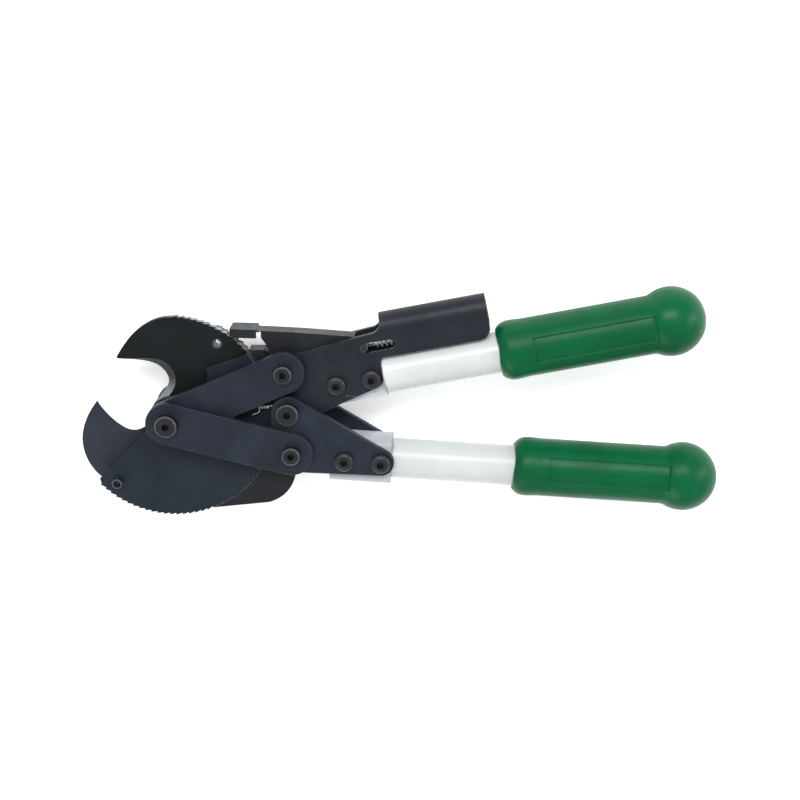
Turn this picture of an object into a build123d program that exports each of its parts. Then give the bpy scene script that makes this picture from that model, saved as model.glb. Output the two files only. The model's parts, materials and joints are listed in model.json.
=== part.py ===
from build123d import *
import os
from math import asin, cos, degrees, radians, sin, sqrt

# Short two-handed ratchet cable cutter, lying flat.
#
# The pivot axes stand along +Z. The origin is on the main pivot's axis, at the end face of its nut,
# which is the lowest point of the tool, so z = 0 is the surface the tool lies on. +X runs from the
# jaws to the handles. Heights named n are measured from the cutting plane between the two blades.

os.makedirs("parts", exist_ok=True)

# ---- driving dimensions, mm and degrees -------------------------------------------------------
link_length = 79.0  # main pivot to each link's outer pivot
link_arm = 25.5  # handle pivot to each link's outer pivot
line_angle = 5.1  # from +X to the line from the main pivot to the handle pivot
plane_height = 28.0  # cutting plane above the surface the tool lies on

blade_thickness = 4.75
ratchet_thickness = 3.2
link_thickness = 4.75
handle_plate_thickness = 4.75
edge_break = 0.35  # chamfer round the flat plates
bracket_sheet = 3.1
slip = 0.1  # play between faces of different bodies

tip_radius = 65.0  # tooth circle of both jaws
root_radius = 63.9
tooth_pitch = 3.6
pawl_clear_radius = 65.5  # nothing outside the jaws comes nearer to the main pivot than this
jaw_hub_radius = 13.2
jaw_pin_radius = 3.2
jaw_pin_reach = 56.0  # main pivot to each jaw's roll pin
upper_pin_angle = 57.3
lower_pin_angle = -129.1
upper_plate_bore = 14.2

pivot_radius = 4.76  # 3/8 in shoulder
link_pivot_radius = 3.97  # 5/16 in shoulder
running_gap = 0.05
open_pivot_gap = 0.95  # the bracket's hole at the upper link pivot

link_inner = 12.8  # inner face of the upper link's plates and of the lower handle's plates
outer_link_inner = 17.65  # inner face of the lower link's plates
bracket_inner = 6.5
lever_outer = 6.15
lever_sheet = 1.9

tube_radius = 12.7
tube_wall = 2.0
block_half = 12.7
upper_tang_half = 6.45
upper_handle_angle = 11.2
upper_handle_offset = 9.8  # upper handle's axis above the handle pivot
lower_handle_angle = -3.2
lower_handle_offset = -30.5
handle_screw_radius = 3.1

grip_length = 128.5
grip_radius = 18.1
ball_radius = 21.6
tube_in_grip = 106.0


def polar(radius, angle):
    """A point in the XY plane from its distance to the main pivot and its direction."""
    return (radius * cos(radians(angle)), radius * sin(radians(angle)))


def level(n):
    """The plane parallel to the blades at height n above the cutting plane."""
    return Plane.XY.offset(plane_height + n)


link_spread = degrees(asin(link_arm / link_length))
handle_pivot = polar(sqrt(link_length**2 - link_arm**2), line_angle)
upper_pivot = polar(link_length, line_angle + link_spread)
lower_pivot = polar(link_length, line_angle - link_spread)
main_pivot = (0.0, 0.0)
upper_pin_places = (polar(jaw_pin_reach, upper_pin_angle), polar(38.0, 6.0))
lower_pin_places = (polar(jaw_pin_reach, lower_pin_angle),)


def handle_plane(angle, offset):
    """Plane with its x along a handle's axis, starting where the handle pivot is square to it."""
    x = handle_pivot[0] - offset * sin(radians(angle))
    y = handle_pivot[1] + offset * cos(radians(angle))
    return Plane(
        origin=(x, y, plane_height),
        x_dir=(cos(radians(angle)), sin(radians(angle)), 0),
        z_dir=(0, 0, 1),
    )


def on_handle(plane, s, t):
    """XY point at s along a handle's axis and t to its left."""
    point = plane.from_local_coords(Vector(s, t, 0))
    return (point.X, point.Y)


def into_handle(plane, point):
    """A point of the XY plane in a handle's own coordinates."""
    local = plane.to_local_coords(Vector(point[0], point[1], plane_height))
    return (local.X, local.Y)


upper_axis = handle_plane(upper_handle_angle, upper_handle_offset)
lower_axis = handle_plane(lower_handle_angle, lower_handle_offset)


def finish(piece, name):
    piece.part.label = name
    export_step(piece.part, f"parts/{name}.step")


def outline_edges(plate):
    """A flat plate's outer edges, without the rims of its holes."""
    holes = lambda edge: edge.geom_type == GeomType.CIRCLE and 2 < edge.radius < 6
    return plate.edges().filter_by(Plane.XY).filter_by(holes, reverse=True)


def teeth(first, last, sense):
    """Saw-tooth rim from angle first to last. sense is the direction the steep faces look."""
    count = round(abs(last - first) / tooth_pitch)
    step = (last - first) / count
    crest = 0.93 if step * sense > 0 else 0.07
    points = [polar(root_radius, first)]
    for index in range(count):
        points.append(polar(tip_radius, first + step * (index + crest)))
        points.append(polar(root_radius, first + step * (index + 1)))
    return points


# ---- jaws -------------------------------------------------------------------------------------
# Upper blade: hook, toothed back and hub, above the cutting plane, ground on its upper side.
upper_tip = (-31.2, 36.3)
upper_edge = (
    upper_tip,
    (-18.0, 35.0),
    (-6.6, 31.2),
    (-1.4, 22.6),
    (-6.0, 13.6),
    polar(jaw_hub_radius, 170),
)
upper_ground = (
    (-31.8, 37.3),
    (-17.0, 37.4),
    (-1.6, 34.6),
    (3.6, 23.2),
    (-2.8, 11.4),
    (-15.0, 1.0),
)
upper_rim = teeth(88.0, 30.4, -1)
with BuildPart() as upper_blade:
    with BuildSketch(level(0)):
        with BuildLine():
            edge = Spline(*upper_edge)
            hub = ThreePointArc(edge @ 1, polar(jaw_hub_radius, -130), polar(jaw_hub_radius, -65))
            lobe = Polyline(hub @ 1, polar(36.0, -14.0))
            heel = ThreePointArc(lobe @ 1, polar(47.0, 4.0), polar(50.0, 20.0))
            Line(heel @ 1, upper_rim[-1])
            Polyline(*reversed(upper_rim))
            back = Spline(upper_rim[0], (-11.5, 60.6), (-23.6, 51.2), (-31.6, 40.0))
            ThreePointArc(back @ 1, (-32.4, 37.6), upper_tip)
        make_face()
        Circle(pivot_radius + running_gap, mode=Mode.SUBTRACT)
        with Locations(*upper_pin_places):
            Circle(jaw_pin_radius, mode=Mode.SUBTRACT)
    extrude(amount=blade_thickness)
    for n, edge_points in ((0.15, upper_edge), (blade_thickness + 0.01, upper_ground)):
        with BuildSketch(level(n)):
            with BuildLine():
                cutting_edge = Spline(*edge_points)
                Polyline(cutting_edge @ 1, (-30.0, 0.0), (-45.0, 30.0), edge_points[0])
            make_face()
    loft(mode=Mode.SUBTRACT)
finish(upper_blade, "upper_blade")

# Upper ratchet plate: toothed sector pinned below the upper blade, round the lower blade's hub.
upper_plate_rim = teeth(62.8, -30.8, -1)
with BuildPart() as upper_ratchet_plate:
    with BuildSketch(level(-blade_thickness)):
        with BuildLine():
            Polyline(*upper_plate_rim)
            Polyline(upper_plate_rim[-1], polar(upper_plate_bore, -36))
            bore = ThreePointArc(
                polar(upper_plate_bore, -36), polar(upper_plate_bore, 10), polar(upper_plate_bore, 56)
            )
            Polyline(bore @ 1, polar(50, 62.5), upper_plate_rim[0])
        make_face()
        with Locations(*upper_pin_places):
            Circle(jaw_pin_radius, mode=Mode.SUBTRACT)
    extrude(amount=blade_thickness)
finish(upper_ratchet_plate, "upper_ratchet_plate")

# Lower blade: hook below the cutting plane, ground on its lower side.
lower_tip = (-47.6, 7.9)
lower_edge = (
    lower_tip,
    (-42.2, 0.6),
    (-34.5, -6.9),
    (-25.2, -11.0),
    (-18.0, -8.6),
    polar(jaw_hub_radius, 192),
)
lower_ground = (
    (-48.4, 6.9),
    (-43.8, -1.4),
    (-36.4, -9.6),
    (-25.6, -14.6),
    (-15.6, -11.2),
    (-12.0, -1.0),
)
with BuildPart() as lower_blade:
    with BuildSketch(level(-blade_thickness - slip)):
        with BuildLine():
            edge = Spline(*lower_edge)
            hub = ThreePointArc(edge @ 1, polar(jaw_hub_radius, 60), polar(jaw_hub_radius, -80))
            rim = Polyline(hub @ 1, polar(root_radius, -112))
            back = ThreePointArc(rim @ 1, polar(root_radius, -125), polar(root_radius, -138))
            Spline(back @ 1, (-56.4, -29.8), (-58.4, -17.5), (-55.4, -4.8), lower_tip)
        make_face()
        Circle(pivot_radius + running_gap, mode=Mode.SUBTRACT)
        with Locations(*lower_pin_places):
            Circle(jaw_pin_radius, mode=Mode.SUBTRACT)
    extrude(amount=blade_thickness)
    for n, edge_points in ((-slip - 0.15, lower_edge), (-blade_thickness - slip - 0.01, lower_ground)):
        with BuildSketch(level(n)):
            with BuildLine():
                cutting_edge = Spline(*edge_points)
                Polyline(cutting_edge @ 1, (-20.0, 14.0), (-44.0, 20.0), edge_points[0])
            make_face()
    loft(mode=Mode.SUBTRACT)
finish(lower_blade, "lower_blade")

# Lower ratchet plate: toothed half disc above the upper blade.
lower_plate_rim = teeth(-136.0, 40.4, -1)
with BuildPart() as lower_ratchet_plate:
    with BuildSketch(level(blade_thickness + slip)):
        with BuildLine():
            Polyline(*lower_plate_rim)
            Polyline(lower_plate_rim[-1], (24.2, 32.4), (24.2, 22.0), polar(jaw_hub_radius, 60))
            hub = ThreePointArc(
                polar(jaw_hub_radius, 60), polar(jaw_hub_radius, 130), polar(jaw_hub_radius, 206)
            )
            Polyline(hub @ 1, (-46.8, -41.2), lower_plate_rim[0])
        make_face()
        Circle(pivot_radius + running_gap, mode=Mode.SUBTRACT)
        with Locations(*lower_pin_places):
            Circle(jaw_pin_radius, mode=Mode.SUBTRACT)
    extrude(amount=ratchet_thickness)
finish(lower_ratchet_plate, "lower_ratchet_plate")


def roll_pins(name, places, low, high):
    """Hollow spring pins through a jaw, each slit along its length."""
    with BuildPart() as pins:
        with BuildSketch(level(low)):
            with Locations(*places):
                Circle(jaw_pin_radius)
                Circle(jaw_pin_radius - 1.0, mode=Mode.SUBTRACT)
                Rectangle(0.7, 2 * jaw_pin_radius, align=(Align.CENTER, Align.MIN), mode=Mode.SUBTRACT)
        extrude(amount=high - low)
        arcs = pins.edges().group_by(Axis.Z)[-1].filter_by(GeomType.CIRCLE)
        chamfer(arcs.filter_by(lambda edge: edge.radius > jaw_pin_radius - 0.5), 0.4)
    finish(pins, name)


roll_pins("upper_jaw_pins", upper_pin_places, -blade_thickness, blade_thickness)
lower_plate_top = blade_thickness + slip + ratchet_thickness
roll_pins("lower_jaw_pin", lower_pin_places, -blade_thickness - slip, lower_plate_top + 4.0)

with BuildPart() as lower_jaw_spacer:
    with BuildSketch(level(-slip)):
        with Locations(*lower_pin_places):
            Circle(jaw_pin_radius + 0.9)
            Circle(jaw_pin_radius, mode=Mode.SUBTRACT)
    extrude(amount=blade_thickness + 2 * slip)
finish(lower_jaw_spacer, "lower_jaw_spacer")

# ---- links ------------------------------------------------------------------------------------
def link_plate(name, outer_pivot, end_radius, n, pivot_hole, outer_hole):
    """Round-ended bar from the main pivot to an outer pivot."""
    with BuildPart() as plate:
        with BuildSketch(level(n)):
            with Locations(main_pivot, outer_pivot):
                Circle(end_radius)
            make_hull()
            with Locations(main_pivot):
                Circle(pivot_hole, mode=Mode.SUBTRACT)
            with Locations(outer_pivot):
                Circle(outer_hole, mode=Mode.SUBTRACT)
        extrude(amount=link_thickness)
        chamfer(outline_edges(plate), edge_break)
    finish(plate, name)


main_running = pivot_radius + running_gap
link_running = link_pivot_radius + running_gap
for side, upper_n, lower_n in (
    ("front", link_inner, outer_link_inner),
    ("back", -link_inner - link_thickness, -outer_link_inner - link_thickness),
):
    link_plate(f"upper_link_{side}", upper_pivot, 13.0, upper_n, main_running, link_pivot_radius)
    link_plate(f"lower_link_{side}", lower_pivot, 13.4, lower_n, pivot_radius, link_running)


# ---- pivot bolts, nuts and spacers ------------------------------------------------------------
def socket_bolt(name, centre, shoulder, head_radius, head_height, head_n, end_n):
    """Shoulder bolt with a chamfered socket head and a threaded end for its nut."""
    socket_radius = 0.36 * head_radius
    with BuildPart() as bolt:
        with BuildSketch(level(end_n)):
            with Locations(centre):
                Circle(shoulder)
        extrude(amount=head_n - end_n)
        with BuildSketch(level(head_n)):
            with Locations(centre):
                Circle(head_radius)
        extrude(amount=head_height)
        chamfer(bolt.edges().group_by(Axis.Z)[-1], 0.9)
        with BuildSketch(level(head_n + head_height)):
            with Locations(centre):
                RegularPolygon(socket_radius, 6)
        extrude(amount=-0.62 * head_height, mode=Mode.SUBTRACT)
    finish(bolt, name)


def hex_nut(name, centre, bore, across_corners, low, high):
    """Plain hexagon nut on a bolt's end, with both faces turned."""
    with BuildPart() as nut:
        with BuildSketch(level(low)):
            with Locations(centre):
                RegularPolygon(across_corners, 6)
                Circle(bore, mode=Mode.SUBTRACT)
        extrude(amount=high - low)
        with BuildSketch(level(low)):
            with Locations(centre):
                Circle(across_corners * 0.93)
                Circle(bore, mode=Mode.SUBTRACT)
        extrude(amount=high - low, mode=Mode.INTERSECT)
    finish(nut, name)


def ring(name, centre, outer, bore, spans):
    """Flat rings or sleeves round one pivot, one for each span of height."""
    with BuildPart() as spacer:
        for low, high in spans:
            with BuildSketch(level(low)):
                with Locations(centre):
                    Circle(outer)
                    Circle(bore, mode=Mode.SUBTRACT)
            extrude(amount=high - low)
    finish(spacer, name)


link_front = link_inner + link_thickness
outer_link_front = outer_link_inner + link_thickness
bracket_outer = bracket_inner + bracket_sheet

socket_bolt("main_pivot_bolt", main_pivot, pivot_radius, 6.9, 5.6, outer_link_front, -plane_height)
hex_nut("main_pivot_nut", main_pivot, pivot_radius, 8.3, -plane_height, -outer_link_front)
ring(
    "main_pivot_spacers",
    main_pivot,
    11.6,
    pivot_radius,
    (
        (lower_plate_top + running_gap, link_inner - running_gap),
        (-link_inner + running_gap, -blade_thickness - slip - running_gap),
    ),
)

socket_bolt("upper_link_bolt", upper_pivot, link_pivot_radius, 5.6, 4.8, link_front, -link_front - 4.2)
hex_nut("upper_link_nut", upper_pivot, link_pivot_radius, 6.6, -link_front - 4.8, -link_front)
ring(
    "upper_link_spacers",
    upper_pivot,
    7.0,
    link_pivot_radius,
    (
        (bracket_outer + running_gap, link_inner),
        (-link_inner, -bracket_outer - running_gap),
    ),
)

socket_bolt(
    "lower_link_bolt", lower_pivot, link_pivot_radius, 5.6, 4.8, outer_link_front, -outer_link_front - 4.2
)
hex_nut("lower_link_nut", lower_pivot, link_pivot_radius, 6.6, -outer_link_front - 4.8, -outer_link_front)
ring(
    "lower_link_spacers",
    lower_pivot,
    7.0,
    link_pivot_radius,
    ((lever_outer + slip, link_inner), (-link_inner, -lever_outer - slip)),
)

socket_bolt("handle_pivot_bolt", handle_pivot, pivot_radius, 6.9, 5.2, link_front, -link_front - 4.6)
hex_nut("handle_pivot_nut", handle_pivot, pivot_radius, 8.3, -link_front - 5.2, -link_front)
ring(
    "handle_pivot_spacers",
    handle_pivot,
    7.6,
    pivot_radius,
    (
        (bracket_outer + running_gap, link_inner),
        (-bracket_inner + running_gap, bracket_inner - running_gap),
        (-link_inner, -bracket_outer - running_gap),
    ),
)

# ---- lower handle -----------------------------------------------------------------------------
lower_screw_points = ((109.0, -24.4), (131.8, -25.5))
for side, n in (("front", link_inner), ("back", -link_inner - handle_plate_thickness)):
    with BuildPart() as handle_plate:
        with BuildSketch(level(n)):
            with Locations(handle_pivot):
                Circle(10.3)
            with Locations(lower_pivot):
                Circle(13.2)
            with Locations(lower_screw_points[1]):
                Circle(8.2)
            with Locations((66.4, 11.9)):
                Circle(1.2)
            make_hull()
            with Locations(handle_pivot):
                Circle(pivot_radius, mode=Mode.SUBTRACT)
            with Locations(lower_pivot):
                Circle(link_pivot_radius, mode=Mode.SUBTRACT)
            with Locations(*lower_screw_points):
                Circle(handle_screw_radius, mode=Mode.SUBTRACT)
        extrude(amount=handle_plate_thickness)
        chamfer(outline_edges(handle_plate), edge_break)
    finish(handle_plate, f"lower_handle_plate_{side}")

lower_block_start = 27.2
lower_block_end = 65.6
lower_grip_start = 141.6
upper_block_end = 62.4
upper_grip_start = 134.0
spigot_length = 18.0
tube_bore = tube_radius - tube_wall


def along(plane, s):
    """Plane square to a handle's axis at s, facing along the handle."""
    return Plane(origin=plane.from_local_coords(Vector(s, 0, 0)), x_dir=(0, 0, -1), z_dir=plane.x_dir)


with BuildPart() as lower_socket_block:
    with BuildSketch(along(lower_axis, lower_block_start)):
        Rectangle(2 * link_inner, 2 * block_half)
    extrude(amount=lower_block_end - lower_block_start)
    chamfer(lower_socket_block.edges().filter_by(lambda e: e.length > 30), 0.6)
    with BuildSketch(along(lower_axis, lower_block_end)):
        Circle(tube_bore)
    extrude(amount=spigot_length)
    with BuildSketch(level(-link_inner)):
        with Locations(*lower_screw_points):
            Circle(handle_screw_radius)
    extrude(amount=2 * link_inner, mode=Mode.SUBTRACT)
finish(lower_socket_block, "lower_socket_block")

# ---- upper handle -----------------------------------------------------------------------------
upper_screw_stations = ((32.1, -0.1), (54.4, 0.0))
with BuildPart() as upper_socket_block:
    with BuildSketch(upper_axis.offset(-upper_tang_half)):
        with BuildLine():
            Polyline(
                (upper_block_end, -block_half),
                (24.5, -block_half),
                (24.5, 6.4),
                (33.0, 4.9),
                (47.4, 0.6),
                (51.4, 7.6),
                (51.4, block_half),
                (upper_block_end, block_half),
                close=True,
            )
        make_face()
        with Locations(*upper_screw_stations):
            Circle(handle_screw_radius, mode=Mode.SUBTRACT)
    extrude(amount=2 * upper_tang_half)
    with BuildSketch(along(upper_axis, upper_block_end)):
        Circle(tube_bore)
    extrude(amount=spigot_length)
finish(upper_socket_block, "upper_socket_block")

# The bracket is one sheet folded over: two side plates joined by the round fold of the cover.
cover_start = 66.0
cover_end = 132.0
cover_top = 38.6
cover_foot = 12.2
bracket_pivot = into_handle(upper_axis, upper_pivot)
bracket_centre = into_handle(upper_axis, handle_pivot)
slot_station = (62.3, 19.8)
with BuildPart() as upper_handle_bracket:
    with BuildSketch(upper_axis.offset(-bracket_outer)):
        with BuildLine():
            top = Polyline(
                (bracket_pivot[0], bracket_pivot[1] + 9.0), (14.0, 24.7), (48.0, 27.6), (60.0, 28.4)
            )
            rise = TangentArc(top @ 1, (cover_start, 34.2), tangent=top % 1)
            cover = Polyline(
                rise @ 1,
                (cover_start, cover_top),
                (cover_end, cover_top),
                (cover_end, cover_foot + 7),
            )
            corner = TangentArc(cover @ 1, (cover_end - 7, cover_foot), tangent=cover % 1)
            under = Polyline(
                corner @ 1,
                (64.2, cover_foot),
                (61.8, 10.4),
                (61.8, upper_screw_stations[1][1]),
            )
            end = TangentArc(under @ 1, (56.2, -6.3), tangent=under % 1)
            foot = Polyline(end @ 1, (20.6, -15.2), (bracket_centre[0] + 1.6, bracket_centre[1] - 8.4))
            heel = ThreePointArc(
                foot @ 1,
                (bracket_centre[0] - 6.2, bracket_centre[1] - 5.8),
                (bracket_centre[0] - 8.3, bracket_centre[1] + 1.8),
            )
            front = Polyline(heel @ 1, (bracket_pivot[0] - 8.9, bracket_pivot[1] - 1.4))
            ThreePointArc(front @ 1, (bracket_pivot[0] - 6.4, bracket_pivot[1] + 6.4), top @ 0)
        make_face()
        with Locations(bracket_pivot):
            Circle(link_pivot_radius + open_pivot_gap, mode=Mode.SUBTRACT)
        with Locations(bracket_centre):
            Circle(pivot_radius + running_gap, mode=Mode.SUBTRACT)
        with Locations(*upper_screw_stations):
            Circle(handle_screw_radius, mode=Mode.SUBTRACT)
        with Locations(slot_station):
            SlotOverall(21.2, 6.2, mode=Mode.SUBTRACT)
    extrude(amount=2 * bracket_outer)
    fold = upper_handle_bracket.edges().filter_by(Axis(upper_axis.origin, upper_axis.x_dir))
    fold = fold.filter_by(lambda edge: into_handle(upper_axis, tuple(edge @ 0.5))[1] > cover_top - 1)
    fillet(fold, bracket_outer - 0.05)
    with BuildSketch(along(upper_axis, -20)):
        Rectangle(2 * bracket_inner, 2 * (cover_top - bracket_outer))
        with Locations((0, cover_top - bracket_outer)):
            Circle(bracket_inner)
    extrude(amount=cover_end + 40, mode=Mode.SUBTRACT)
finish(upper_handle_bracket, "upper_handle_bracket")


# ---- handle tubes and grips -------------------------------------------------------------------
def handle_tube(name, plane, start, grip_start):
    with BuildPart() as tube:
        with BuildSketch(along(plane, start)):
            Circle(tube_radius)
            Circle(tube_bore, mode=Mode.SUBTRACT)
        extrude(amount=grip_start + tube_in_grip - start)
    finish(tube, name)


def grip(name, plane, start):
    """Dipped vinyl grip: rolled front lip, straight body and ball end, bored for the tube."""
    ball = start + grip_length - ball_radius
    neck = ball - sqrt(ball_radius**2 - grip_radius**2) - 1.8
    blend = (-9.2, sqrt(ball_radius**2 - 9.2**2))  # where the ball takes over from its neck
    with BuildPart() as sleeve:
        with BuildSketch(plane):
            with BuildLine():
                lip = Spline(
                    (start, 13.9),
                    (start + 2.2, 16.4),
                    (start + 6.0, 18.4),
                    (start + 11.0, 18.6),
                    (start + 17.0, grip_radius),
                    tangents=((0.35, 1), (1, 0)),
                )
                body = Line(lip @ 1, (neck, grip_radius))
                shoulder = Spline(
                    body @ 1,
                    (ball + blend[0], blend[1]),
                    tangents=((1, 0), (blend[1], -blend[0])),
                )
                ThreePointArc(
                    shoulder @ 1,
                    (ball + 0.6 * ball_radius, 0.8 * ball_radius),
                    (ball + ball_radius, 0),
                )
                Polyline(
                    (start + grip_length, 0),
                    (start + tube_in_grip, 0),
                    (start + tube_in_grip, tube_radius),
                    (start, tube_radius),
                    (start, 13.9),
                )
            make_face()
        revolve(axis=Axis(plane.origin, plane.x_dir))
    finish(sleeve, name)


handle_tube("lower_handle_tube", lower_axis, lower_block_end, lower_grip_start)
handle_tube("upper_handle_tube", upper_axis, upper_block_end, upper_grip_start)
grip("lower_grip", lower_axis, lower_grip_start)
grip("upper_grip", upper_axis, upper_grip_start)


# ---- handle screws ----------------------------------------------------------------------------
def button_screws(name, centres, head_n, end_n):
    """Pair of domed hex-socket screws."""
    head_radius = 6.2
    head_height = 3.6
    with BuildPart() as screws:
        with BuildSketch(level(end_n)):
            with Locations(*centres):
                Circle(handle_screw_radius)
        extrude(amount=head_n - end_n)
        with BuildSketch(level(head_n)):
            with Locations(*centres):
                Circle(head_radius)
        extrude(amount=head_height)
        crown = screws.edges().group_by(Axis.Z)[-1]
        fillet(crown, 2.6)
        with BuildSketch(level(head_n + head_height)):
            with Locations(*centres):
                RegularPolygon(2.3, 6)
        extrude(amount=-2.4, mode=Mode.SUBTRACT)
    finish(screws, name)


def screw_nuts(name, centres, low, high):
    with BuildPart() as nuts:
        with BuildSketch(level(low)):
            with Locations(*centres):
                RegularPolygon(6.0, 6)
                Circle(handle_screw_radius, mode=Mode.SUBTRACT)
        extrude(amount=high - low)
    finish(nuts, name)


upper_screw_points = [on_handle(upper_axis, *station) for station in upper_screw_stations]
button_screws("upper_handle_screws", upper_screw_points, bracket_outer, -bracket_outer - 2.7)
screw_nuts("upper_handle_nuts", upper_screw_points, -bracket_outer - 3.1, -bracket_outer)
button_screws("lower_handle_screws", lower_screw_points, link_front, -link_front - 3.6)
screw_nuts("lower_handle_nuts", lower_screw_points, -link_front - 4.0, -link_front)

# ---- upper pawl: release lever and drive pawl -------------------------------------------------
px, py = upper_pivot
lever_tip_half = 8.3
with BuildPart() as upper_release_lever:
    with BuildSketch(level(-lever_outer)):
        with BuildLine():
            Polyline(
                (54.0, 57.2),
                (56.0, 56.3),
                (82.0, 55.2),
                (115.5, 52.9),
                (115.5, 47.5),
                (90.0, 44.5),
                (px + 7.4, py + 3.0),
            )
            ThreePointArc((px + 7.4, py + 3.0), (px, py - 8.0), (px - 7.6, py + 2.4))
            Polyline(
                (px - 7.6, py + 2.4), (62.4, 43.8), (60.2, 48.4), (57.8, 51.6), (54.0, 51.8), (54.0, 57.2)
            )
        make_face()
        with Locations(upper_pivot):
            Circle(link_pivot_radius + running_gap, mode=Mode.SUBTRACT)
    extrude(amount=2 * lever_outer)
    with BuildSketch(level(-lever_outer + lever_sheet)):
        with BuildLine():
            Polyline(
                (53.0, 55.5), (82.0, 53.3), (117.0, 50.9), (117.0, 20.0), (53.0, 20.0), (53.0, 55.5)
            )
        make_face()
    extrude(amount=2 * (lever_outer - lever_sheet), mode=Mode.SUBTRACT)
    with BuildSketch(level(-lever_tip_half)):
        with BuildLine():
            Polyline((38.7, 57.6), (55.0, 57.4), (55.0, 51.8), (43.5, 52.0), (38.7, 53.1), close=True)
        make_face()
    extrude(amount=2 * lever_tip_half)
    with BuildSketch(level(-lever_tip_half + lever_sheet)):
        with Locations((50.2, 52.6)):
            Rectangle(15.0, 6.0)
    extrude(amount=2 * (lever_tip_half - lever_sheet), mode=Mode.SUBTRACT)
finish(upper_release_lever, "upper_release_lever")

pawl_half = lever_outer - lever_sheet - 0.05
with BuildPart() as upper_drive_pawl:
    with BuildSketch(level(-lever_outer)):
        with BuildLine():
            Polyline(
                (50.1, 43.9), (59.4, 43.9), (60.4, 39.0), (56.2, 36.0), (53.0, 39.1), close=True
            )
        make_face()
    extrude(amount=2 * lever_outer)
    with BuildSketch(level(-pawl_half)):
        with Locations(upper_pivot):
            Circle(7.4)
        with Locations((58.4, 41.8)):
            Circle(1.6)
        with Locations((57.8, 36.2)):
            Circle(0.8)
        make_hull()
        with Locations(upper_pivot):
            Circle(link_pivot_radius + running_gap, mode=Mode.SUBTRACT)
    extrude(amount=2 * pawl_half)
finish(upper_drive_pawl, "upper_drive_pawl")

# ---- lower pawl: guard and drive pawl ---------------------------------------------------------
qx, qy = lower_pivot
with BuildPart() as lower_pawl_guard:
    with BuildSketch(level(-lever_outer)):
        with BuildLine():
            inner = ThreePointArc(
                polar(pawl_clear_radius, -67.3), polar(pawl_clear_radius, -50), polar(pawl_clear_radius, -26)
            )
            Polyline(inner @ 1, (qx - 8.2, qy + 3.4))
            hub = ThreePointArc((qx - 8.2, qy + 3.4), (qx + 2.0, qy + 8.6), (qx + 8.8, qy))
            side = Polyline(hub @ 1, (qx + 7.4, -30.0), (77.6, -36.5))
            bend = ThreePointArc(side @ 1, (71.8, -49.2), (60.1, -56.4))
            Line(bend @ 1, inner @ 0)
        make_face()
        with Locations(lower_pivot):
            Circle(link_pivot_radius + running_gap, mode=Mode.SUBTRACT)
    extrude(amount=2 * lever_outer)
    with BuildSketch(level(-lever_outer + lever_sheet)):
        with BuildLine():
            bend = ThreePointArc((59.8, -54.5), (70.4, -47.9), (75.7, -36.5))
            Polyline(
                bend @ 1,
                (qx + 12, qy - 6),
                (qx + 12, qy + 12),
                (50.0, 0.0),
                (40.0, -40.0),
                (23.0, -58.6),
                bend @ 0,
            )
        make_face()
    extrude(amount=2 * (lever_outer - lever_sheet), mode=Mode.SUBTRACT)
finish(lower_pawl_guard, "lower_pawl_guard")

with BuildPart() as lower_drive_pawl:
    with BuildSketch(level(-pawl_half)):
        with Locations(lower_pivot):
            Circle(7.4)
        with Locations((59.2, -31.9), (61.4, -36.6)):
            Circle(1.0)
        make_hull()
        with Locations(lower_pivot):
            Circle(link_pivot_radius + running_gap, mode=Mode.SUBTRACT)
    extrude(amount=2 * pawl_half)
finish(lower_drive_pawl, "lower_drive_pawl")

# ---- lever spring inside the cover ------------------------------------------------------------
spring_start = 56.4
spring_end = 84.0
spring_height = slot_station[1]
with BuildPart() as lever_spring:
    with BuildSketch(along(upper_axis, spring_start)):
        with Locations((0, spring_height)):
            Circle(2.9)
            Circle(1.9, mode=Mode.SUBTRACT)
    extrude(amount=spring_end - spring_start)
finish(lever_spring, "lever_spring")

with BuildPart() as spring_pins:
    with BuildSketch(upper_axis.offset(-bracket_outer)):
        with Locations((53.9, spring_height + 0.1)):
            Circle(2.1)
    extrude(amount=2 * bracket_outer)
    with BuildSketch(upper_axis.offset(-bracket_inner)):
        with Locations((spring_end + 1.6, spring_height)):
            Circle(1.6)
    extrude(amount=2 * bracket_inner)
finish(spring_pins, "spring_pins")
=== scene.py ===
import json
import math
import random

import bmesh
import bpy
import numpy as np
from mathutils import Matrix, Vector


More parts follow.
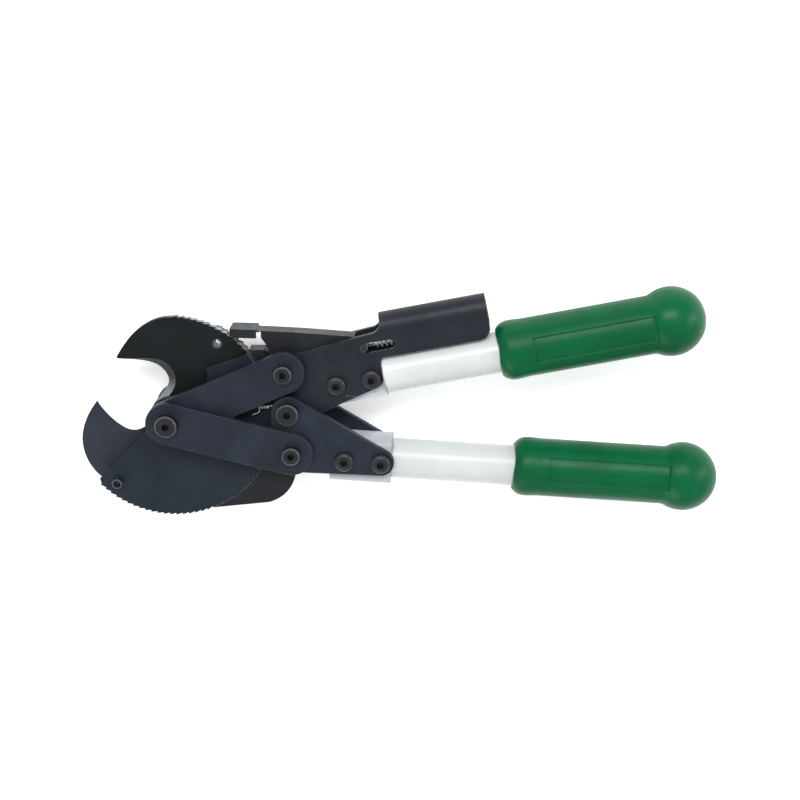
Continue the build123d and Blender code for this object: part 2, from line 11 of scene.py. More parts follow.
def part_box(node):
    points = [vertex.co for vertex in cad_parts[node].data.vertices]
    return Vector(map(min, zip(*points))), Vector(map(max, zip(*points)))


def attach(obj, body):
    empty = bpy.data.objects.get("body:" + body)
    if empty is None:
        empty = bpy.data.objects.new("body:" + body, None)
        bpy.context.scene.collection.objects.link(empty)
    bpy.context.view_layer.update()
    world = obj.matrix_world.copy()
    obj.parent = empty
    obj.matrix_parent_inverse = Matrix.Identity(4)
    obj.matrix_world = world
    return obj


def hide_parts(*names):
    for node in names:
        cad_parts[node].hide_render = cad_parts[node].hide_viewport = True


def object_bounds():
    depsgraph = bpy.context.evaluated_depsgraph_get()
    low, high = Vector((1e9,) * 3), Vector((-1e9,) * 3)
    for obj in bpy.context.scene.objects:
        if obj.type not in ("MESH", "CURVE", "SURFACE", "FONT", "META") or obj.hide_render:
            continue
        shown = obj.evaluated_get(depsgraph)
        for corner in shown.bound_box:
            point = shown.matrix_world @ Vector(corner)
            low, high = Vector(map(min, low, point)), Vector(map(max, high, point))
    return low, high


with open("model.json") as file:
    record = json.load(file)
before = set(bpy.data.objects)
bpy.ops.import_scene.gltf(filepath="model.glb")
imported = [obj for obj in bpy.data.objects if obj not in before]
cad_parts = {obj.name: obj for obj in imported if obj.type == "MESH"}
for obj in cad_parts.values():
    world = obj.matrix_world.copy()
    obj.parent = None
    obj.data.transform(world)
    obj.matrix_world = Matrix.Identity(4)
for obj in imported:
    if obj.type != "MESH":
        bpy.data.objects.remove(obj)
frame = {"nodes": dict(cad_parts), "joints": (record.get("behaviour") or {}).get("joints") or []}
cad_low, cad_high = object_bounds()

# Everything is in metres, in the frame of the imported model: +Z along the pivots, +X to the handles.
MM = 0.001
random.seed(7)

# ---- places read from the frame ----------------------------------------------------------------
joints = {joint["name"]: joint for joint in frame["joints"]}
main_pivot = Vector(joints["upper_jaw_close"]["pos_m"])
handle_pivot = Vector(joints["handle_open"]["pos_m"])
mid_plane = main_pivot.z


def handle_axis(tube):
    """A handle's axis at the jaw end of its tube, its direction, and the tube's radius."""
    points = [vertex.co for vertex in frame["nodes"][tube].data.vertices]
    points = np.unique(np.round(np.array(points, float), 6), axis=0)
    centre = points.mean(0)
    direction = np.linalg.svd(points - centre)[2][0]
    direction *= np.sign(direction[0])
    along = (points - centre) @ direction
    across = np.linalg.norm(points - centre - np.outer(along, direction), axis=1)
    start = Vector(centre + along.min() * direction)
    return start, Vector(direction), across.max()


def handle_matrix(start, direction):
    """Local x along the handle, y to its left and z up."""
    left = Vector((0, 0, 1)).cross(direction)
    columns = (direction, left, Vector((0, 0, 1)), start)
    return Matrix([[column[row] for column in columns] for row in range(3)] + [[0, 0, 0, 1]])


def span_along(node, matrix):
    """Lowest and highest corner of a CAD node in a handle's own coordinates."""
    inverse = matrix.inverted()
    points = np.array([inverse @ vertex.co for vertex in frame["nodes"][node].data.vertices])
    return points.min(0), points.max(0)


# ---- shader helpers ----------------------------------------------------------------------------
class Shader:
    """A Principled material with short calls for the nodes that the finishes below need."""

    def __init__(self, name, **values):
        self.material = bpy.data.materials.new(name)
        self.material.use_nodes = True
        self.nodes = self.material.node_tree.nodes
        self.links = self.material.node_tree.links
        self.principled = self.nodes["Principled BSDF"]
        for socket, value in values.items():
            self.principled.inputs[socket.replace("_", " ")].default_value = value
        self.place = self.nodes.new("ShaderNodeTexCoord").outputs["Object"]

    def put(self, value, socket):
        if isinstance(value, bpy.types.NodeSocket):
            self.links.new(value, socket)
        else:
            socket.default_value = value

    def noise(self, scale, detail=4.0, roughness=0.55, stretch=(1, 1, 1), distortion=0.0, turn=0.0):
        """Noise from 0 to 1, with scale in features per metre."""
        mapping = self.nodes.new("ShaderNodeMapping")
        mapping.inputs["Scale"].default_value = stretch
        mapping.inputs["Rotation"].default_value = (0, 0, turn)
        self.links.new(self.place, mapping.inputs["Vector"])
        node = self.nodes.new("ShaderNodeTexNoise")
        node.inputs["Scale"].default_value = scale
        node.inputs["Detail"].default_value = detail
        node.inputs["Roughness"].default_value = roughness
        node.inputs["Distortion"].default_value = distortion
        self.links.new(mapping.outputs["Vector"], node.inputs["Vector"])
        return node.outputs["Fac"]

    def remap(self, value, low, high, out_low=0.0, out_high=1.0):
        node = self.nodes.new("ShaderNodeMapRange")
        node.interpolation_type = "SMOOTHSTEP"
        limits = {"From Min": low, "From Max": high, "To Min": out_low, "To Max": out_high}
        for socket, number in limits.items():
            node.inputs[socket].default_value = number
        self.put(value, node.inputs["Value"])
        return node.outputs["Result"]

    def math(self, operation, first, second=0.0):
        node = self.nodes.new("ShaderNodeMath")
        node.operation = operation
        self.put(first, node.inputs[0])
        self.put(second, node.inputs[1])
        return node.outputs["Value"]

    def mix(self, factor, first, second):
        node = self.nodes.new("ShaderNodeMix")
        node.data_type = "RGBA"
        self.put(factor, node.inputs["Factor"])
        for socket, colour in ((node.inputs[6], first), (node.inputs[7], second)):
            self.put(colour if isinstance(colour, bpy.types.NodeSocket) else (*colour, 1.0), socket)
        return node.outputs[2]

    def edges(self, width, low=0.03, high=0.25):
        """1 along sharp edges, fading over width metres."""
        bevel = self.nodes.new("ShaderNodeBevel")
        bevel.samples = 6
        bevel.inputs["Radius"].default_value = width
        geometry = self.nodes.new("ShaderNodeNewGeometry")
        dot = self.nodes.new("ShaderNodeVectorMath")
        dot.operation = "DOT_PRODUCT"
        self.links.new(bevel.outputs["Normal"], dot.inputs[0])
        self.links.new(geometry.outputs["Normal"], dot.inputs[1])
        return self.remap(self.math("SUBTRACT", 1.0, dot.outputs["Value"]), low, high)

    def normal_part(self, axis):
        """One component of the surface's normal, in the row frame at rest."""
        coordinates = self.nodes.new("ShaderNodeTexCoord")
        split = self.nodes.new("ShaderNodeSeparateXYZ")
        self.links.new(coordinates.outputs["Normal"], split.inputs["Vector"])
        return split.outputs[axis]

    def distance(self, point, flat=False):
        """Distance from a point of the row frame, or from the upright axis through it."""
        offset = self.nodes.new("ShaderNodeVectorMath")
        offset.operation = "SUBTRACT"
        self.links.new(self.place, offset.inputs[0])
        offset.inputs[1].default_value = point
        scaled = self.nodes.new("ShaderNodeVectorMath")
        scaled.operation = "MULTIPLY"
        self.links.new(offset.outputs["Vector"], scaled.inputs[0])
        scaled.inputs[1].default_value = (1, 1, 0 if flat else 1)
        length = self.nodes.new("ShaderNodeVectorMath")
        length.operation = "LENGTH"
        self.links.new(scaled.outputs["Vector"], length.inputs[0])
        return length.outputs["Value"]

    def bump(self, height, distance, strength=1.0):
        node = self.nodes.new("ShaderNodeBump")
        node.inputs["Strength"].default_value = strength
        node.inputs["Distance"].default_value = distance
        self.links.new(height, node.inputs["Height"])
        self.links.new(node.outputs["Normal"], self.principled.inputs["Normal"])

    def finish(self, colour, roughness, metallic=None):
        self.put(colour, self.principled.inputs["Base Color"])
        self.put(roughness, self.principled.inputs["Roughness"])
        if metallic is not None:
            self.put(metallic, self.principled.inputs["Metallic"])
        return self.material


# ---- finishes ----------------------------------------------------------------------------------
# Bare steel colour: real wear and scratches, and also painted edge and chamfer highlights.
BARE_STEEL_AND_HIGHLIGHT = (0.34, 0.35, 0.37)


def black_oxide(name, dark, light, roughness=0.42, edge_width=0.35 * MM, rub_and_highlight=0.6, scratches=0.5):
    """Blackened steel: clouded blue-grey, thin edges of rubbed wear and painted highlight, a few fine
    scratches.
    """
    shader = Shader(name, Specular_IOR_Level=0.24)
    clouds = shader.noise(38, detail=5, roughness=0.6)
    grain = shader.noise(900, detail=3, stretch=(1, 0.25, 1), turn=0.2)
    colour = shader.mix(shader.remap(clouds, 0.32, 0.7), dark, light)
    patchy = shader.remap(shader.noise(160, detail=4), 0.40, 0.62, 0.15, 1.0)
    # Edges go bare steel: partly real rubbing, partly a painted highlight on every sharp edge.
    rubbed_and_highlit = shader.math("MULTIPLY", shader.edges(edge_width), patchy)
    rubbed_and_highlit = shader.math("MULTIPLY", rubbed_and_highlit, rub_and_highlight)
    lines = shader.noise(420, detail=2, stretch=(0.08, 1.4, 1), turn=0.55, distortion=0.3)
    lines = shader.remap(lines, 0.715, 0.76)
    where = shader.remap(shader.noise(30, detail=2), 0.55, 0.68)
    scuffs = shader.math("MULTIPLY", shader.math("MULTIPLY", lines, where), scratches)
    bare_and_highlit = shader.math("MAXIMUM", rubbed_and_highlit, scuffs)
    colour = shader.mix(bare_and_highlit, colour, BARE_STEEL_AND_HIGHLIGHT)
    rough = shader.remap(clouds, 0.3, 0.75, roughness + 0.08, roughness - 0.05)
    shader.bump(grain, 0.02 * MM, 0.35)
    return shader.finish(colour, rough, shader.math("MULTIPLY", bare_and_highlit, 0.8))


def jaw_steel(name, dark, light, sheen, ground=None, tooth_tips=0.0):
    """Blackened jaw plate, with bare tooth tips and, on a blade, a ground cutting edge."""
    shader = Shader(name, Specular_IOR_Level=sheen)
    clouds = shader.noise(30, detail=5, roughness=0.6)
    colour = shader.mix(shader.remap(clouds, 0.32, 0.7), dark, light)
    # Edges go bare steel: partly real wear, partly a painted highlight on every sharp edge.
    edge_wear_and_highlight = shader.math("MULTIPLY", shader.edges(0.3 * MM), shader.remap(shader.noise(200), 0.4, 0.6))
    edge_wear_and_highlight = shader.math("MULTIPLY", edge_wear_and_highlight, 0.45)
    reach = shader.distance(main_pivot, flat=True)
    upright = shader.math("ABSOLUTE", shader.normal_part("Z"))
    tips = shader.math("MULTIPLY", shader.remap(reach, 63.2 * MM, 64.6 * MM), shader.remap(upright, 0.9, 0.2))
    tips = shader.math("MULTIPLY", tips, shader.remap(shader.noise(120), 0.35, 0.6, 0.3, 1.0))
    bare_and_highlit = shader.math("MAXIMUM", edge_wear_and_highlight, shader.math("MULTIPLY", tips, tooth_tips))
    metal = shader.math("MULTIPLY", bare_and_highlit, 0.7)
    if ground:
        strokes = shader.noise(700, detail=3, stretch=(1, 0.15, 1), turn=0.9)
        tone = shader.mix(shader.remap(strokes, 0.3, 0.7), ground[0], ground[1])
        slanted = shader.math(
            "MULTIPLY", shader.remap(upright, 0.20, 0.30), shader.remap(upright, 0.97, 0.93)
        )
        heel = shader.remap(reach, 26 * MM, 14 * MM)
        tone = shader.mix(shader.math("MULTIPLY", heel, 0.55), tone, BARE_STEEL_AND_HIGHLIGHT)
        colour = shader.mix(slanted, colour, tone)
        metal = shader.math("MAXIMUM", metal, shader.math("MULTIPLY", slanted, 0.35))
    colour = shader.mix(bare_and_highlit, colour, BARE_STEEL_AND_HIGHLIGHT)
    rough = shader.remap(clouds, 0.3, 0.75, 0.55, 0.42)
    shader.bump(shader.noise(1100, detail=3, stretch=(1, 0.3, 1), turn=1.2), 0.02 * MM, 0.4)
    return shader.finish(colour, rough, metal)


def fastener(name, tone, rim_wear_and_highlight=0.5, roughness=0.36, shaded_sockets=(), socket_radius=2.6 * MM):
    """Turned black fastener: a painted highlight ring on its slanted rim, and walls and socket painted
    near-black as shade.
    """
    shader = Shader(name, Specular_IOR_Level=0.26)
    clouds = shader.noise(120, detail=4)
    lighter = tuple(1.7 * part for part in tone)
    colour = shader.mix(shader.remap(clouds, 0.3, 0.7), tone, lighter)
    # Rim edges go bare steel: partly real rubbing, partly a painted highlight.
    rubbed_and_highlit = shader.math("MULTIPLY", shader.edges(0.45 * MM, 0.02, 0.3), rim_wear_and_highlight)
    rubbed_and_highlit = shader.math("MULTIPLY", rubbed_and_highlit, shader.remap(shader.noise(300), 0.3, 0.6, 0.35, 1.0))
    upright = shader.math("ABSOLUTE", shader.normal_part("Z"))
    # Painted highlight: the slanted chamfer ring is lightened toward bare steel below.
    slanted = shader.math("MULTIPLY", shader.remap(upright, 0.25, 0.4), shader.remap(upright, 0.97, 0.9))
    # Painted shade: side walls that do not face straight up are darkened nearly to black.
    colour = shader.mix(shader.remap(upright, 0.3, 0.1, 0.0, 0.8), colour, (0.003, 0.003, 0.004))
    colour = shader.mix(shader.math("MULTIPLY", slanted, 0.3 * rim_wear_and_highlight), colour, BARE_STEEL_AND_HIGHLIGHT)
    colour = shader.mix(rubbed_and_highlit, colour, BARE_STEEL_AND_HIGHLIGHT)
    # Painted shade: each socket recess is filled near-black around its centre.
    for centre in shaded_sockets:
        inside = shader.remap(shader.distance(centre, flat=True), socket_radius, 0.85 * socket_radius)
        colour = shader.mix(inside, colour, (0.002, 0.002, 0.003))
    shader.bump(shader.noise(1500, detail=3), 0.02 * MM, 0.4)
    rough = shader.remap(clouds, 0.3, 0.7, roughness + 0.06, roughness - 0.06)
    return shader.finish(colour, rough, shader.math("MULTIPLY", rubbed_and_highlit, 0.7))


def bright_steel(name, tone, roughness=0.3, grime=0.4):
    """Plain or plated steel with darker grime in patches."""
    shader = Shader(name, Metallic=0.85)
    patches = shader.noise(350, detail=4)
    dirty = shader.math("MULTIPLY", shader.remap(patches, 0.5, 0.72), grime)
    colour = shader.mix(dirty, tone, tuple(0.25 * part for part in tone))
    shader.bump(shader.noise(1800, detail=2), 0.015 * MM, 0.5)
    return shader.finish(colour, shader.remap(patches, 0.3, 0.8, roughness, roughness + 0.25))


def white_enamel(name, dark, light, joints_at, chips=0.5):
    """White enamel with faint marks, and a thin dark line at each welded joint."""
    shader = Shader(name, Specular_IOR_Level=0.4)
    clouds = shader.noise(26, detail=4)
    colour = shader.mix(shader.remap(clouds, 0.35, 0.7), dark, light)
    marks = shader.remap(shader.noise(55, detail=5, stretch=(0.5, 1, 1)), 0.66, 0.78)
    colour = shader.mix(shader.math("MULTIPLY", marks, 0.35), colour, (0.45, 0.43, 0.41))
    specks = shader.remap(shader.noise(260, detail=3), 0.74, 0.79)
    soot = 0.0
    for point, direction in joints_at:
        offset = shader.nodes.new("ShaderNodeVectorMath")
        offset.operation = "SUBTRACT"
        shader.links.new(shader.place, offset.inputs[0])
        offset.inputs[1].default_value = point
        along = shader.nodes.new("ShaderNodeVectorMath")
        along.operation = "DOT_PRODUCT"
        shader.links.new(offset.outputs["Vector"], along.inputs[0])
        along.inputs[1].default_value = direction
        near = shader.remap(shader.math("ABSOLUTE", along.outputs["Value"]), 0.9 * MM, 0.3 * MM)
        near = shader.math("MULTIPLY", near, shader.remap(shader.distance(point), 24 * MM, 19 * MM))
        soot = shader.math("MAXIMUM", soot, near)
    ragged = shader.remap(shader.noise(240, detail=3), 0.35, 0.60, 0.2, 0.8)
    soot = shader.math("MULTIPLY", soot, ragged)
    chipped = shader.math("MULTIPLY", shader.edges(0.5 * MM), specks)
    chipped = shader.math("MULTIPLY", chipped, chips)
    dark = shader.math("MAXIMUM", shader.math("MULTIPLY", specks, 0.35), chipped)
    dark = shader.math("MAXIMUM", dark, shader.math("MULTIPLY", soot, 0.7))
    colour = shader.mix(dark, colour, (0.12, 0.11, 0.1))
    shader.bump(shader.noise(240, detail=3), 0.05 * MM, 0.3)
    return shader.finish(colour, shader.remap(clouds, 0.3, 0.7, 0.34, 0.24))


def green_vinyl(name):
    """Dipped vinyl: semi-gloss, slightly uneven skin, a little dull grime, painted shade along its creases."""
    shader = Shader(name, Specular_IOR_Level=0.14)
    clouds = shader.noise(34, detail=4)
    colour = shader.mix(shader.remap(clouds, 0.3, 0.72), (0.0, 0.072, 0.023), (0.0, 0.096, 0.033))
    smears = shader.remap(shader.noise(70, detail=5, stretch=(0.4, 1, 1), distortion=0.4), 0.6, 0.78)
    colour = shader.mix(shader.math("MULTIPLY", smears, 0.3), colour, (0.003, 0.06, 0.024))
    # Painted shade: sharp creases and panel edges are darkened.
    crease_shade = shader.math("MULTIPLY", shader.edges(0.6 * MM, 0.01, 0.2), 0.35)
    colour = shader.mix(crease_shade, colour, (0.0, 0.035, 0.013))
    waves = shader.math("MULTIPLY", shader.noise(90, detail=3), 4.0)
    skin = shader.math("ADD", shader.noise(1300, detail=2), waves)
    shader.bump(skin, 0.06 * MM, 0.35)
    return shader.finish(colour, shader.remap(clouds, 0.3, 0.7, 0.40, 0.30))


upper_start, upper_direction, tube_radius = handle_axis("upper_handle_tube")
lower_start, lower_direction, tube_radius = handle_axis("lower_handle_tube")
upper_matrix = handle_matrix(upper_start, upper_direction)
lower_matrix = handle_matrix(lower_start, lower_direction)
welds = [(upper_start, upper_direction), (lower_start, lower_direction)]

plate_steel = black_oxide("plate_steel", (0.006, 0.010, 0.018), (0.015, 0.021, 0.033))
bracket_steel = black_oxide("bracket_steel", (0.006, 0.008, 0.013), (0.013, 0.016, 0.022), rub_and_highlight=0.8)
lever_steel = black_oxide("lever_steel", (0.005, 0.006, 0.009), (0.012, 0.014, 0.018), rub_and_highlight=0.7)
# Painted shade: a darker copy of the blackened steel for the pawls and pawl guard, standing in for the shade
# they sit in.
shaded_steel = black_oxide("shaded_steel", (0.004, 0.005, 0.007), (0.010, 0.012, 0.015), rub_and_highlight=0.35)
plate_jaw = jaw_steel("plate_jaw", (0.006, 0.011, 0.018), (0.011, 0.018, 0.027), 0.2, tooth_tips=0.35)
GROUND = ((0.024, 0.023, 0.026), (0.060, 0.056, 0.056))
upper_blade_jaw = jaw_steel(
    "upper_blade_jaw", (0.003, 0.005, 0.005), (0.007, 0.010, 0.011), 0.12, ground=GROUND, tooth_tips=0.9
)
lower_blade_jaw = jaw_steel(
    "lower_blade_jaw", (0.014, 0.019, 0.028), (0.022, 0.028, 0.040), 0.22, ground=GROUND, tooth_tips=0.8
)
BOLTS = ("main_pivot_bolt", "upper_link_bolt", "lower_link_bolt", "handle_pivot_bolt")
bolt_centres = [sum(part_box(bolt), Vector()) / 2 for bolt in BOLTS]
bolt_steel = fastener("bolt_steel", (0.008, 0.009, 0.011), rim_wear_and_highlight=0.45, shaded_sockets=bolt_centres)
sleeve_steel = fastener("sleeve_steel", (0.010, 0.011, 0.013), rim_wear_and_highlight=0.3)
dark_pin = fastener("dark_pin", (0.012, 0.013, 0.015), rim_wear_and_highlight=0.8)
plated_wire = bright_steel("plated_wire", (0.62, 0.63, 0.66), roughness=0.24, grime=0.3)
tube_paint = white_enamel("tube_paint", (0.50, 0.53, 0.52), (0.565, 0.59, 0.58), welds)
block_paint = white_enamel("block_paint", (0.41, 0.415, 0.45), (0.47, 0.475, 0.51), welds, chips=0.8)
grip_vinyl = green_vinyl("grip_vinyl")

button_centres = []
for node, matrix in (("upper_handle_screws", upper_matrix), ("lower_handle_screws", lower_matrix)):
    low, high = span_along(node, matrix)
    head = (high[1] - low[1]) / 2
    for x in (low[0] + head, high[0] - head):
        button_centres.append(matrix @ Vector((x, low[1] + head, 0)))
button_steel = fastener(
    "button_steel", (0.011, 0.012, 0.014), rim_wear_and_highlight=0.12, shaded_sockets=button_centres, socket_radius=2.4 * MM
)

FINISHES = {
    "lower_link_front": plate_steel,
    "lower_link_back": plate_steel,
    "upper_link_front": plate_steel,
    "upper_link_back": plate_steel,
    "lower_handle_plate_front": plate_steel,
    "lower_handle_plate_back": plate_steel,
    "upper_handle_bracket": bracket_steel,
    "upper_release_lever": lever_steel,
    "upper_drive_pawl": shaded_steel,
    "lower_pawl_guard": shaded_steel,
    "lower_drive_pawl": shaded_steel,
    "upper_blade": upper_blade_jaw,
    "lower_blade": lower_blade_jaw,
    "upper_ratchet_plate": plate_jaw,
    "lower_ratchet_plate": plate_jaw,
    "upper_jaw_pins": dark_pin,
    "lower_jaw_pin": dark_pin,
    "lower_jaw_spacer": sleeve_steel,
    "spring_pins": dark_pin,
    "lever_spring": plated_wire,
    "upper_handle_tube": tube_paint,
    "lower_handle_tube": tube_paint,
    "upper_socket_block": block_paint,
    "lower_socket_block": block_paint,
    "upper_grip": grip_vinyl,
    "lower_grip": grip_vinyl,
    "upper_handle_screws": button_steel,
    "lower_handle_screws": button_steel,
}
for node, item in frame["nodes"].items():
    if node.endswith("_spacers"):
        material = sleeve_steel
    elif node.endswith(("_bolt", "_nut", "_nuts")):
        material = bolt_steel
    else:
        material = FINISHES[node]
    item.data.materials.clear()
    item.data.materials.append(material)


# ---- new pieces --------------------------------------------------------------------------------
def mesh_piece(name, mesh, matrix, body, material):
    """Adds a finished mesh to the scene and hands it to a CAD body."""
    mesh.transform(matrix)
    for polygon in mesh.polygons:
        polygon.use_smooth = True
    mesh.materials.append(material)
    piece = bpy.data.objects.new(name, mesh)
    bpy.context.scene.collection.objects.link(piece)
    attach(piece, body)
    return piece


def step_between(value, low, high):
    """0 below low, 1 above high, and smooth between them."""
    share = min(max((value - low) / (high - low), 0.0), 1.0)
    return share * share * (3 - 2 * share)


def wire(points, radius, sides=12):
    """A closed round wire along points, as a mesh."""
    mesh = bmesh.new()
    rings = []
    side = None
    for index, point in enumerate(points):
        ahead = points[min(index + 1, len(points) - 1)] - points[max(index - 1, 0)]
        ahead.normalize()
        side = ahead.orthogonal() if side is None else side - ahead * side.dot(ahead)
        side.normalize()
        other = ahead.cross(side)
        ring = []
        for turn in range(sides):
            angle = 2 * math.pi * turn / sides
            ring.append(mesh.verts.new(point + radius * (math.cos(angle) * side + math.sin(angle) * other)))
        rings.append(ring)
    for first, second in zip(rings, rings[1:]):
        for turn in range(sides):
            mesh.faces.new((first[turn - 1], first[turn], second[turn], second[turn - 1]))
    mesh.faces.new(list(reversed(rings[0])))
    mesh.faces.new(rings[-1])
    bmesh.ops.recalc_face_normals(mesh, faces=mesh.faces)
    result = bpy.data.meshes.new("wire")
    mesh.to_mesh(result)
    mesh.free()
    return result


# ---- grips -------------------------------------------------------------------------------------
GRIP_RADIUS = 18.1 * MM
BALL_RADIUS = 21.45 * MM
BALL_BLEND = 9.2 * MM  # how far before its centre the ball takes over from its neck
LIP_RADIUS = 18.6 * MM
PANEL_START = 22.5 * MM
PANEL_END = 97.0 * MM
PANEL_HALF_TURN = math.radians(26)
PANEL_DEPTH = 1.2 * MM
PANEL_WALL = 0.45 * MM  # width of the slope at the panel's edge


def grip_outline(s, length):
    """Outer radius of the grip at s metres from its open end."""
    ball = length - BALL_RADIUS
    if s >= ball - BALL_BLEND:
        return math.sqrt(max(BALL_RADIUS**2 - (s - ball) ** 2, 0.0))
    lip = [(0.0, 14.2), (0.9, 15.5), (2.2, 16.6), (4.0, 17.7), (6.5, 18.4), (9.5, 18.6), (17.0, 18.1)]
    for (s0, r0), (s1, r1) in zip(lip, lip[1:]):
        if s <= s1 * MM:
            return MM * (r0 + (r1 - r0) * (s - s0 * MM) / ((s1 - s0) * MM))
    neck_end = ball - BALL_BLEND
    neck_start = neck_end - 4.4 * MM
    at_ball = math.sqrt(BALL_RADIUS**2 - BALL_BLEND**2)
    share = min(max((s - neck_start) / (neck_end - neck_start), 0.0), 1.0)
    return GRIP_RADIUS + (at_ball - GRIP_RADIUS) * share**2.2


def grip_stations(length):
    """Distances along the grip, close together at the lip, the panel's ends and the ball."""
    stations = list(np.linspace(0, 17 * MM, 26))
    for edge in (PANEL_START, PANEL_END):
        stations += list(np.linspace(edge - 0.6 * MM, edge + 0.6 * MM, 9))
    stations += list(np.linspace(17 * MM, length - BALL_RADIUS - 16 * MM, 60))
    stations += list(np.linspace(length - BALL_RADIUS - 16 * MM, length - BALL_RADIUS, 26))
    ball = [length - BALL_RADIUS + BALL_RADIUS * math.sin(a) for a in np.linspace(0, math.pi / 2, 30)[1:-1]]
    return sorted(set(round(float(s), 7) for s in stations + ball))


def grip_angles():
    """Directions round the grip from straight up, close together at the panels' sides."""
    angles = list(np.linspace(0, 2 * math.pi, 96, endpoint=False))
    slope = PANEL_WALL / GRIP_RADIUS
    for face in (0.0, math.pi):
        for side in (-1, 1):
            for share in np.linspace(-1.4, 1.4, 7):
                angles.append((face + side * PANEL_HALF_TURN + share * slope) % (2 * math.pi))
        for side in (-1, 1):
            for share in (-0.02, 0.0, 0.02):
                angles.append((face + side * math.pi / 2 + share) % (2 * math.pi))
    return sorted(set(round(float(a), 6) for a in angles))


def make_grip(name, node, matrix, length, twist, body):
    """Dipped grip with a rolled lip, an inset panel on both faces, seam lines and a ball end."""
    mesh = bmesh.new()
    angles = grip_angles()
    rings = []
    for s in grip_stations(length):
        ring = []
        for angle in angles:
            radius = grip_outline(s, length)
            along_panel = min(s - PANEL_START, PANEL_END - s)
            off_front = abs(math.remainder(angle, 2 * math.pi))
            off_face = min(off_front, math.pi - off_front)
            across_panel = (PANEL_HALF_TURN - off_face) * GRIP_RADIUS
            inside = step_between(min(along_panel, across_panel), -PANEL_WALL / 2, PANEL_WALL / 2)
            radius -= PANEL_DEPTH * inside
            seam = abs(off_front - math.pi / 2)
            radius += 0.16 * MM * (1 - step_between(seam, 0.0, 0.045)) * step_between(s, 8 * MM, 14 * MM)
            drip = 0.35 * MM * math.sin(2 * angle + 0.7) + 0.2 * MM * math.sin(5 * angle)
            x = s + drip * (1 - step_between(s, 0.0, 9 * MM)) + 0.5 * MM * (1 - step_between(s, 0.0, 9 * MM))
            turned = angle + twist
            ring.append(mesh.verts.new((x, radius * math.sin(turned), radius * math.cos(turned))))
        rings.append(ring)
    mouth = []
    for vertex in rings[0]:
        y, z = vertex.co.y, vertex.co.z
        inner = (tube_radius + 0.05 * MM) / math.hypot(y, z)
        mouth.append(mesh.verts.new((vertex.co.x + 0.6 * MM, y * inner, z * inner)))
    rings.insert(0, mouth)
    deep = [mesh.verts.new((10 * MM, vertex.co.y, vertex.co.z)) for vertex in mouth]
    rings.insert(0, deep)
    for first, second in zip(rings, rings[1:]):
        for index in range(len(angles)):
            mesh.faces.new((first[index - 1], first[index], second[index], second[index - 1]))
    mesh.faces.new(rings[0])
    tip = mesh.verts.new((length, 0, 0))
    for index in range(len(angles)):
        mesh.faces.new((rings[-1][index - 1], rings[-1][index], tip))
    bmesh.ops.recalc_face_normals(mesh, faces=mesh.faces)
    result = bpy.data.meshes.new(name)
    mesh.to_mesh(result)
    mesh.free()
    piece = mesh_piece(name, result, matrix, body, grip_vinyl)
    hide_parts(node)
    return piece


for name, node, matrix, twist, body in (
    ("upper_grip_skin", "upper_grip", upper_matrix, math.radians(4), "upper_handle"),
    ("lower_grip_skin", "lower_grip", lower_matrix, math.radians(13), "lower_handle"),
):
    low, high = span_along(node, matrix)
    placed = matrix @ Matrix.Translation((low[0], 0, 0))
    make_grip(name, node, placed, high[0] - low[0] - 0.05 * MM, twist, body)


# ---- weld beads at the handles -----------------------------------------------------------------
WELD_SIZE = 0.45 * MM
WELD_LUMPS = 38


def weld_bead(name, matrix, body):
    """Uneven bead of weld round the tube where it meets its block."""
    mesh = bmesh.new()
    around, across = 150, 10
    rings = []
    lumps = [random.uniform(0.6, 1.0) for _ in range(WELD_LUMPS)]
    for step in range(around):
        angle = 2 * math.pi * step / around
        place = step / around * len(lumps)
        first = lumps[int(place) % len(lumps)]
        second = lumps[(int(place) + 1) % len(lumps)]
        size = WELD_SIZE * (first + (second - first) * (place % 1))
        size *= 0.9 + 0.1 * math.cos(WELD_LUMPS * angle)
        ring = []
        for turn in range(across):
            slope = 2 * math.pi * turn / across
            radius = tube_radius - 0.2 * MM + size * math.sin(slope)
            ring.append(
                mesh.verts.new((size * math.cos(slope), radius * math.sin(angle), radius * math.cos(angle)))
            )
        rings.append(ring)
    for index in range(around):
        first, second = rings[index - 1], rings[index]
        for turn in range(across):
            mesh.faces.new((first[turn - 1], first[turn], second[turn], second[turn - 1]))
    bmesh.ops.recalc_face_normals(mesh, faces=mesh.faces)
    result = bpy.data.meshes.new(name)
    mesh.to_mesh(result)
    mesh.free()
    return mesh_piece(name, result, matrix, body, block_paint)


weld_bead("upper_weld", upper_matrix, "upper_handle")
weld_bead("lower_weld", lower_matrix, "lower_handle")


# ---- lever spring inside the cover -------------------------------------------------------------
SPRING_WIRE = 0.62 * MM
SPRING_PITCH = 3.0 * MM

low, high = span_along("lever_spring", upper_matrix)
pin_low = span_along("spring_pins", upper_matrix)[0]
spring_radius = (high[1] - low[1]) / 2 - SPRING_WIRE
spring_height = (high[1] + low[1]) / 2
coil_start = low[0] + 5.0 * MM
coil_end = high[0] - 1.0 * MM
turns = (coil_end - coil_start) / SPRING_PITCH
route = [
    Vector((pin_low[0] + 3.4 * MM, spring_height - 0.4 * MM, 0)),
    Vector((coil_start - 1.6 * MM, spring_height, -0.3 * spring_radius)),
]
for step in range(int(turns * 24) + 1):
    angle = 2 * math.pi * step / 24 - 1.2
    x = coil_start + SPRING_PITCH * step / 24
    route.append(Vector((x, spring_height + spring_radius * math.sin(angle), spring_radius * math.cos(angle))))
spring = mesh_piece(
    "lever_spring_coil", wire(route, SPRING_WIRE), upper_matrix, "upper_handle", plated_wire
)
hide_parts("lever_spring")


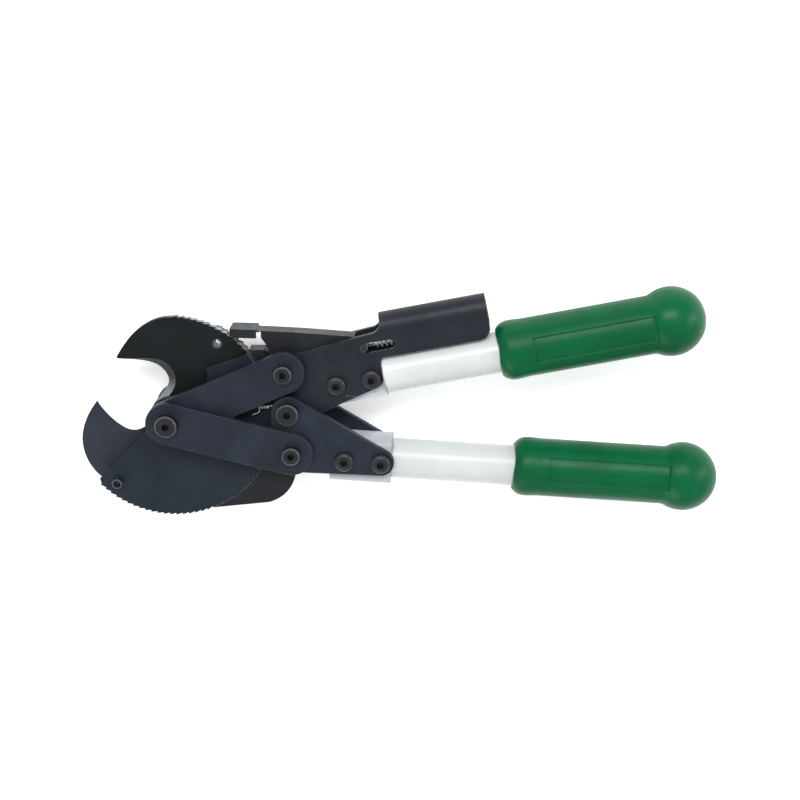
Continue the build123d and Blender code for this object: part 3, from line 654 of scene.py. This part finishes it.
# ---- pawl spring, between the front link and the handle bracket, left of the handle pivot --------
PAWL_SPRING_RADIUS = 1.05 * MM
PAWL_WIRE = 0.32 * MM
PAWL_PITCH = 1.15 * MM
PAWL_TURNS = 6
TURN_STEPS = 20
spring_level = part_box("upper_link_front")[0].z - PAWL_SPRING_RADIUS - 2 * PAWL_WIRE
sleeve_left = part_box("handle_pivot_spacers")[0].x
route = []
for step in range(PAWL_TURNS * TURN_STEPS):
    angle = 2 * math.pi * step / TURN_STEPS
    advance = PAWL_PITCH * step / TURN_STEPS
    x = sleeve_left - 11 * MM + advance
    y = handle_pivot.y + 1.8 * MM + 0.06 * advance
    offset = PAWL_SPRING_RADIUS * math.cos(angle)
    route.append(Vector((x, y + offset, spring_level + PAWL_SPRING_RADIUS * math.sin(angle))))
last = route[-1]
for reach, drop in ((1.2, -0.4), (2.4, -1.0), (3.4, -1.8)):
    route.append(Vector((last.x + reach * MM, last.y + drop * MM, spring_level)))
first = route[0]
leg = [(-4.2, -6.4), (-3.0, -5.6), (-1.0, -5.0), (0.6, -3.6), (0.2, -1.8)]
route = [Vector((first.x + dx * MM, first.y + dy * MM, spring_level)) for dx, dy in leg] + route
mesh_piece(
    "pawl_spring", wire(route, PAWL_WIRE), Matrix.Identity(4), "lower_handle", plated_wire
)


# ---- floor, light and camera -------------------------------------------------------------------
floor_mesh = bpy.data.meshes.new("floor")
FLOOR_HALF = 4.0
corners = [(FLOOR_HALF * x, FLOOR_HALF * y, 0) for x, y in ((-1, -1), (1, -1), (1, 1), (-1, 1))]
floor_mesh.from_pydata(corners, [], [(0, 1, 2, 3)])
floor = bpy.data.objects.new("floor", floor_mesh)
bpy.context.scene.collection.objects.link(floor)
floor_shader = Shader(
    "floor_paper", Specular_IOR_Level=0.2, Emission_Color=(1, 1, 1, 1), Emission_Strength=0.35
)
paper = floor_shader.mix(floor_shader.noise(3), (0.93, 0.93, 0.93), (0.95, 0.95, 0.95))
floor_mesh.materials.append(floor_shader.finish(paper, 0.7))


def area_light(name, direction, distance, width, height, watts):
    """Soft rectangular light that faces the middle of the tool."""
    data = bpy.data.lights.new(name, "AREA")
    data.shape = "RECTANGLE"
    data.size = width
    data.size_y = height
    data.energy = watts
    light = bpy.data.objects.new(name, data)
    bpy.context.scene.collection.objects.link(light)
    aim = Vector(direction).normalized()
    light.location = Vector((0.14, 0, mid_plane)) + aim * distance
    light.rotation_mode = "QUATERNION"
    light.rotation_quaternion = aim.to_track_quat("Z", "Y")
    return light


area_light("key", (-0.05, 0.62, 0.80), 1.6, 1.3, 0.5, 20)
area_light("fill", (-0.35, -0.75, 0.55), 1.8, 1.2, 0.8, 9)
area_light("side", (0.95, 0.25, 0.35), 1.5, 0.5, 0.9, 7)

world = bpy.data.worlds.new("studio")
world.use_nodes = True
world.node_tree.nodes["Background"].inputs["Color"].default_value = (0.96, 0.98, 1.0, 1.0)
world.node_tree.nodes["Background"].inputs["Strength"].default_value = 0.75
bpy.context.scene.world = world
bpy.context.scene.view_settings.view_transform = "Standard"

camera_data = bpy.data.cameras.new("camera")
camera_data.lens = 72
camera_data.sensor_width = 36
CAMERA_DISTANCE = 1.0
camera = bpy.data.objects.new("camera", camera_data)
bpy.context.scene.collection.objects.link(camera)
aim_point = Vector(((cad_low.x + cad_high.x) / 2 + 0.0012, 0.0106, mid_plane))
view_from = Vector((0.0333, 0.3007, 0.9531))
camera.location = aim_point + view_from * CAMERA_DISTANCE
camera.rotation_mode = "QUATERNION"
back = view_from.normalized()
right = Vector((0, 1, 0)).cross(back).normalized()
above = back.cross(right)
camera.rotation_quaternion = Matrix((right, above, back)).transposed().to_quaternion()
bpy.context.scene.camera = camera
